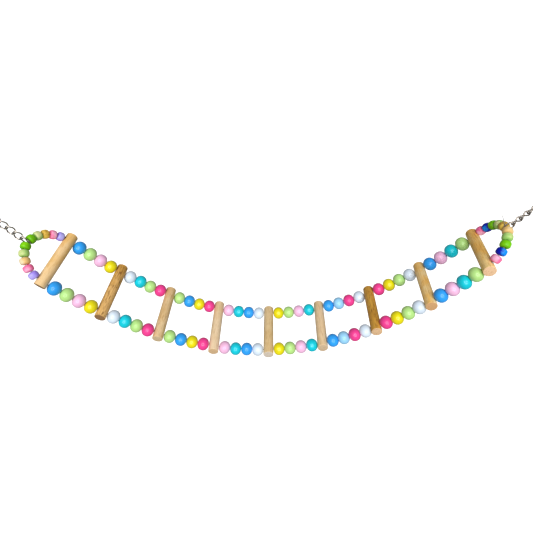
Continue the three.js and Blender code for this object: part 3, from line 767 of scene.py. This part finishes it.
new_piece(
    "right_wire_end", closed_skin(swept_rings(tail_stations, WIRE_SIDES)), Matrix(),
    # A lighter copy of the wire's zinc, painting a highlight all along the tail
    galvanised_steel("zinc_with_painted_highlight", dull="#B4B8BA", bright="#CFD2D2"),
    "galvanised_wire", "right_loop", "right_end_loop",
)

# Chains. Oval links of nickel-plated steel wire, butted at one leg and twisted a quarter turn,
# so that the chain lies flat. The first link of each is left flat and hangs on the bare wire.
LINKS_PER_CHAIN = 6
LINK_INNER_WIDTH = 3.8 * MM
LINK_INNER_LENGTH = 6.9 * MM
LINK_TWIST = -math.pi / 2
LINK_SIDES = 16
BOW_STEPS = 14
LEG_STEPS = 6
BUTT_GAP = 0.08 * MM
link_bow = (LINK_INNER_WIDTH + LINK_WIRE) / 2
link_reach = LINK_INNER_LENGTH + LINK_WIRE
link_pitch = LINK_INNER_LENGTH - RUNNING_GAP
first_bow = -(WIRE_DIAMETER / 2 + RUNNING_GAP + LINK_WIRE / 2)


def link_mesh(turn_start, turn):
    """An oval along z, its first bow at 0, from one butted end round to the other."""
    low, high = link_bow, link_reach - link_bow
    butt = (low + high) / 2
    flat = []
    for i in range(LEG_STEPS):
        flat.append((link_bow, butt - BUTT_GAP / 2 + (low - butt + BUTT_GAP / 2) * i / LEG_STEPS))
    for i in range(BOW_STEPS):
        angle = math.pi * i / BOW_STEPS
        flat.append((link_bow * math.cos(angle), low - link_bow * math.sin(angle)))
    for i in range(2 * LEG_STEPS):
        flat.append((-link_bow, low + (high - low) * i / (2 * LEG_STEPS)))
    for i in range(BOW_STEPS):
        angle = math.pi * (1 + i / BOW_STEPS)
        flat.append((link_bow * math.cos(angle), high - link_bow * math.sin(angle)))
    for i in range(LEG_STEPS + 1):
        flat.append((link_bow, high + (butt + BUTT_GAP / 2 - high) * i / LEG_STEPS))
    places = []
    for sideways, height in flat:
        share = min(1, max(0, height / link_reach))
        eased = share ** 3 * (share * (share * 6 - 15) + 10)
        angle = turn_start + turn * eased
        centre = Vector((sideways * math.cos(angle), sideways * math.sin(angle), height))
        places.append((centre, Vector((-math.sin(angle), math.cos(angle), 0))))
    stations = []
    for i, (centre, normal) in enumerate(places):
        before = places[max(0, i - 1)][0]
        after = places[min(len(places) - 1, i + 1)][0]
        stations.append((centre, (after - before).normalized(), normal, LINK_WIRE / 2))
    return closed_skin(swept_rings(stations, LINK_SIDES))


# Nickel plate: a warm silver that mirrors what is round it, fine drawing lines from the wire,
# a few dull smudges and brownish tarnish where the plate is thin.
NICKEL = "#D2C8BB"
TARNISH = "#3E2E24"
SMUDGE_SIZE = 3 * MM
TARNISH_SIZE = 1.1 * MM
DRAWN_LINE = 0.15 * MM
LINE_DEPTH = 0.01 * MM


def nickel_plate(name, roughness, tarnish):
    """The tarnish is how dark its spots are, from 0 to 1."""
    material, tree, shader = new_finish(name, Metallic=1)
    place = add(tree, "ShaderNodeTexCoord").outputs["Object"]
    smudges = add(tree, "ShaderNodeTexNoise", {"Vector": place, "Scale": 1 / SMUDGE_SIZE, "Detail": 3})
    spots = add(tree, "ShaderNodeTexNoise", {"Vector": place, "Scale": 1 / TARNISH_SIZE, "Detail": 2})
    spot_share = add(tree, "ShaderNodeMapRange", {
        "Value": spots.outputs["Fac"], "From Min": 0.46, "From Max": 0.6, "To Max": tarnish,
    })
    tone = add(tree, "ShaderNodeMix", {
        "Factor": spot_share.outputs[0], "A": linear(NICKEL), "B": linear(TARNISH),
    }, data_type="RGBA")
    dullness = add(tree, "ShaderNodeMapRange", {
        "Value": smudges.outputs["Fac"], "To Min": roughness - 0.08, "To Max": roughness + 0.12,
    })
    lines = add(tree, "ShaderNodeTexNoise", {"Vector": place, "Scale": 1 / DRAWN_LINE, "Detail": 1})
    relief = add(tree, "ShaderNodeBump", {
        "Height": lines.outputs["Fac"], "Strength": 0.2, "Distance": LINE_DEPTH,
    })
    tree.links.new(tone.outputs["Result"], shader.inputs["Base Color"])
    tree.links.new(dullness.outputs[0], shader.inputs["Roughness"])
    tree.links.new(relief.outputs[0], shader.inputs["Normal"])
    return material


link_nickel = nickel_plate("nickel_plated_wire", roughness=0.32, tarnish=0.9)
flat_link = link_mesh(turn_start=math.pi / 2, turn=0)
twisted_link = link_mesh(turn_start=0, turn=LINK_TWIST)
chain_frames = {}
for end in ("left", "right"):
    crown_hinge = hinges[f"{end}_link_1_swing"]
    hook_hinge = hinges[f"{end}_hook_swing"]
    crown_at = Vector(crown_hinge["pos_m"])
    away = (Vector(hook_hinge["pos_m"]) - crown_at).normalized()
    across = Vector(crown_hinge["axis"])
    across = across if across.y > 0 else -across
    chain_frames[end] = set_up(crown_at, across, away.cross(across), away)
    for number in range(1, LINKS_PER_CHAIN + 1):
        shape = flat_link if number == 1 else twisted_link
        rise = Matrix.Translation((0, 0, first_bow + (number - 1) * link_pitch))
        new_piece(
            f"{end}_steel_link_{number}", shape.copy(), chain_frames[end] @ rise,
            link_nickel, "nickel_plated_steel", f"{end}_link_{number}", f"{end}_chain_link_{number}",
        )

# Snap hooks. The body is a pressed bar, bent round an eye for the chain and a bow for the perch
# wire, and nickel plated. Its flat boss, pierced for the rivet, closes the eye.
HOOK_THICKNESS = 2.2 * MM
HOOK_BAR = 2.8 * MM
HOOK_EYE_BAR = 2 * MM
HOOK_EYE_RADIUS = 3.2 * MM
HOOK_BOW_RADIUS = 6.5 * MM
HOOK_BOW_HEIGHT = 22 * MM
HOOK_BOSS_DIAMETER = 3.8 * MM
HOOK_BOSS_DISTANCE = 5 * MM
HOOK_BOSS_EDGE = 0.35 * MM
HOOK_BOSS_SIDES = 40
HOOK_NOSE_OVERLAP = 1.6 * MM
RIVET_DIAMETER = 1.2 * MM
ARC_STEPS = 26
SPINE_STEPS = 8
BAR_CORNERS = 24
BAR_ROUNDING = 3.2
NOSE_STEPS = 5
NOSE_FIRST_STEP = 0.6
hook_taper = math.asin((HOOK_BOW_RADIUS - HOOK_EYE_RADIUS) / (HOOK_BOW_HEIGHT - HOOK_EYE_RADIUS))
gate_way = Vector((math.sin(hook_taper), 0, math.cos(hook_taper)))
eye_end = Vector((
    HOOK_EYE_RADIUS * math.cos(hook_taper), 0, HOOK_EYE_RADIUS * (1 - math.sin(hook_taper)),
))
bow_end = Vector((
    HOOK_BOW_RADIUS * math.cos(hook_taper), 0, HOOK_BOW_HEIGHT - HOOK_BOW_RADIUS * math.sin(hook_taper),
))
boss = eye_end + gate_way * HOOK_BOSS_DISTANCE
nose = bow_end - gate_way * (HOOK_NOSE_OVERLAP / 2)


def hook_body_mesh():
    """The bar's section, a rounded rectangle, swept round nose, bow, spine and eye to the boss."""
    path = [(nose, HOOK_BAR)]
    for i in range(ARC_STEPS + 1):
        angle = -hook_taper + (math.pi + 2 * hook_taper) * i / ARC_STEPS
        way = Vector((math.cos(angle), 0, math.sin(angle)))
        path.append((way * HOOK_BOW_RADIUS + Vector((0, 0, HOOK_BOW_HEIGHT)), HOOK_BAR))
    spine_from = path[-1][0]
    eye_angles = [
        math.pi + hook_taper + (math.pi - 2 * hook_taper) * i / ARC_STEPS for i in range(ARC_STEPS + 1)
    ]
    eye = []
    for angle in eye_angles:
        way = Vector((math.cos(angle), 0, math.sin(angle)))
        bar = HOOK_EYE_BAR + (HOOK_BAR - HOOK_EYE_BAR) * math.cos(angle) ** 2
        eye.append((way * HOOK_EYE_RADIUS + Vector((0, 0, HOOK_EYE_RADIUS)), bar))
    for i in range(1, SPINE_STEPS):
        path.append((spine_from.lerp(eye[0][0], i / SPINE_STEPS), HOOK_BAR))
    path += eye
    path.append((boss, HOOK_BAR))
    rings = []
    for i, (centre, bar) in enumerate(path):
        before = path[max(0, i - 1)][0]
        after = path[min(len(path) - 1, i + 1)][0]
        travel = (after - before).normalized()
        normal = Vector((travel.z, 0, -travel.x))
        scales = [1.0]
        if i == 0:
            shares = [
                (k + NOSE_FIRST_STEP) / (NOSE_STEPS + NOSE_FIRST_STEP) for k in range(NOSE_STEPS)
            ]
            scales = [math.sin(math.pi / 2 * share) for share in shares] + [1]
        for scale in scales:
            back = travel * (bar / 4 * (1 - math.sqrt(max(0, 1 - (1 - scale) ** 2)) - (1 - scale)))
            ring = []
            for k in range(BAR_CORNERS):
                turn = 2 * math.pi * k / BAR_CORNERS
                wide = abs(math.cos(turn)) ** (2 / BAR_ROUNDING) * math.copysign(1, math.cos(turn))
                thick = abs(math.sin(turn)) ** (2 / BAR_ROUNDING) * math.copysign(1, math.sin(turn))
                across_bar = normal * (bar / 2 * wide * scale)
                through_bar = Vector((0, HOOK_THICKNESS / 2 * thick * scale, 0))
                ring.append(centre + back + across_bar + through_bar)
            rings.append(ring)
    bar = bpy.data.objects.new("hook_bar", closed_skin(rings))
    half = HOOK_THICKNESS / 2
    edge = HOOK_BOSS_EDGE
    boss_radius = HOOK_BOSS_DIAMETER / 2
    rounded = [(boss_radius, half - edge), (boss_radius - 0.3 * edge, half - 0.3 * edge)]
    rounded.append((boss_radius - edge, half))
    disc_profile = [(radius, -height) for radius, height in reversed(rounded)] + rounded
    hole_radius = RIVET_DIAMETER / 2 + RUNNING_GAP
    lying = Matrix.Translation(boss) @ Matrix.Rotation(math.pi / 2, 4, "X")
    disc = bpy.data.objects.new("hook_disc", closed_skin(turned_rings(disc_profile, HOOK_BOSS_SIDES)))
    punch_profile = [(hole_radius, -HOOK_THICKNESS), (hole_radius, HOOK_THICKNESS)]
    punch = bpy.data.objects.new("hook_punch", closed_skin(turned_rings(punch_profile, HOLE_SIDES)))
    for helper in (bar, disc, punch):
        bpy.context.scene.collection.objects.link(helper)
    disc.matrix_world = lying
    punch.matrix_world = lying
    for tool, way in ((disc, "UNION"), (punch, "DIFFERENCE")):
        step = bar.modifiers.new(way, "BOOLEAN")
        step.object = tool
        step.operation = way
        step.solver = "EXACT"
    bpy.context.view_layer.update()
    mesh = bpy.data.meshes.new_from_object(bar.evaluated_get(bpy.context.evaluated_depsgraph_get()))
    for helper in (bar, disc, punch):
        bpy.data.objects.remove(helper)
    return mesh


hook_nickel = nickel_plate("nickel_plated_hook", roughness=0.26, tarnish=0.35)
hook_mesh = hook_body_mesh()
for end in ("left", "right"):
    hook_at = chain_frames[end].to_3x3().to_4x4()
    hook_at.translation = Vector(hinges[f"{end}_hook_swing"]["pos_m"])
    new_piece(
        f"{end}_snap_hook", hook_mesh.copy(), hook_at,
        hook_nickel, "nickel_plated_steel", f"{end}_hook", f"{end}_hook_body", crease=40,
    )

# Gates, rivets and springs. Each gate is folded from thin plated sheet and turns on a headed
# rivet through the boss. A leaf of bare spring steel inside it presses it shut. Blued steel is
# dark and a little blue, and goes towards straw where the heat reached it less.
SPRING_BLUE = "#5C6270"
SPRING_STRAW = "#8C8377"
gate_nickel = nickel_plate("nickel_plated_sheet", roughness=0.3, tarnish=0.3)
spring_steel, spring_tree, spring_shader = new_finish("blued_spring_steel", Metallic=1)
spring_place = add(spring_tree, "ShaderNodeTexCoord").outputs["Object"]
spring_tint = add(spring_tree, "ShaderNodeTexNoise", {"Vector": spring_place, "Scale": 1 / SMUDGE_SIZE})
spring_tone = add(spring_tree, "ShaderNodeMix", {
    "Factor": spring_tint.outputs["Fac"], "A": linear(SPRING_BLUE), "B": linear(SPRING_STRAW),
}, data_type="RGBA")
spring_dull = add(spring_tree, "ShaderNodeMapRange", {
    "Value": spring_tint.outputs["Fac"], "To Min": 0.25, "To Max": 0.45,
})
spring_tree.links.new(spring_tone.outputs["Result"], spring_shader.inputs["Base Color"])
spring_tree.links.new(spring_dull.outputs[0], spring_shader.inputs["Roughness"])
for end in ("left", "right"):
    for part, metal in (("gate", gate_nickel), ("rivet", hook_nickel), ("spring", spring_steel)):
        solid = frame["nodes"][f"{end}_hook_{part}"]
        solid.data.materials.clear()
        solid.data.materials.append(metal)

# Floor, light and viewpoint. The ladder hangs clear of a plain white sweep that is lit from
# within, as on a light table, but far enough off to throw no light back. A ring light round the
# lens makes the beads bright in front and darker at their rims, and lays one soft highlight on each.
FLOOR_DROP = 450 * MM
FLOOR_SIZE = 30
FLOOR_GLOW = 0.5
FLOOR_ROUGHNESS = 0.9
floor_shape = bmesh.new()
bmesh.ops.create_grid(floor_shape, x_segments=1, y_segments=1, size=FLOOR_SIZE / 2)
floor_mesh = bpy.data.meshes.new("floor")
floor_shape.to_mesh(floor_mesh)
floor_shape.free()
floor = bpy.data.objects.new("floor", floor_mesh)
bpy.context.scene.collection.objects.link(floor)
floor.location = (lowest_point.x, 0, cad_box[0][2] - FLOOR_DROP)
sweep, _, _ = new_finish(
    "lit_white_sweep", Base_Color=linear("#F4F4F4"), Roughness=FLOOR_ROUGHNESS,
    Emission_Color=linear("#FFFFFF"), Emission_Strength=FLOOR_GLOW,
)
floor_mesh.materials.append(sweep)
floor.visible_diffuse = False
floor.visible_glossy = False

CAMERA_FROM_MIDDLE = Vector((12.74, -252.46, 325.27)) * MM
CAMERA_TURN = (47.17, 2.22, 0.52)
FOCAL_LENGTH = 26.23
NEAREST_SEEN = 10 * MM
camera_data = bpy.data.cameras.new("camera")
camera_data.lens = FOCAL_LENGTH
camera_data.clip_start = NEAREST_SEEN
camera = bpy.data.objects.new("camera", camera_data)
bpy.context.scene.collection.objects.link(camera)
camera.location = lowest_point + CAMERA_FROM_MIDDLE
camera.rotation_euler = [math.radians(angle) for angle in CAMERA_TURN]
bpy.context.scene.camera = camera
bpy.context.view_layer.update()

RING_LIGHTS = 12
RING_ANGLE = math.radians(21)
RING_STRENGTH = 3.75
RING_SOFTNESS = math.radians(6)
WORLD_LIGHT = 0.25
for i in range(RING_LIGHTS):
    turn = 2 * math.pi * i / RING_LIGHTS
    lamp = bpy.data.lights.new(f"ring_light_{i + 1}", "SUN")
    lamp.energy = RING_STRENGTH / RING_LIGHTS
    lamp.angle = RING_SOFTNESS
    light = bpy.data.objects.new(f"ring_light_{i + 1}", lamp)
    bpy.context.scene.collection.objects.link(light)
    off_axis = Vector((math.cos(turn), math.sin(turn), 0)) * math.sin(RING_ANGLE)
    to_light = off_axis + Vector((0, 0, math.cos(RING_ANGLE)))
    shine = -(camera.matrix_world.to_3x3() @ to_light)
    light.rotation_euler = shine.to_track_quat("-Z", "Y").to_euler()
    light.location = camera.location - shine
world = bpy.data.worlds.new("studio")
world.use_nodes = True
background = world.node_tree.nodes["Background"]
background.inputs["Color"].default_value = linear("#FFFFFF")
background.inputs["Strength"].default_value = WORLD_LIGHT
bpy.context.scene.world = world
bpy.context.scene.view_settings.view_transform = "Standard"
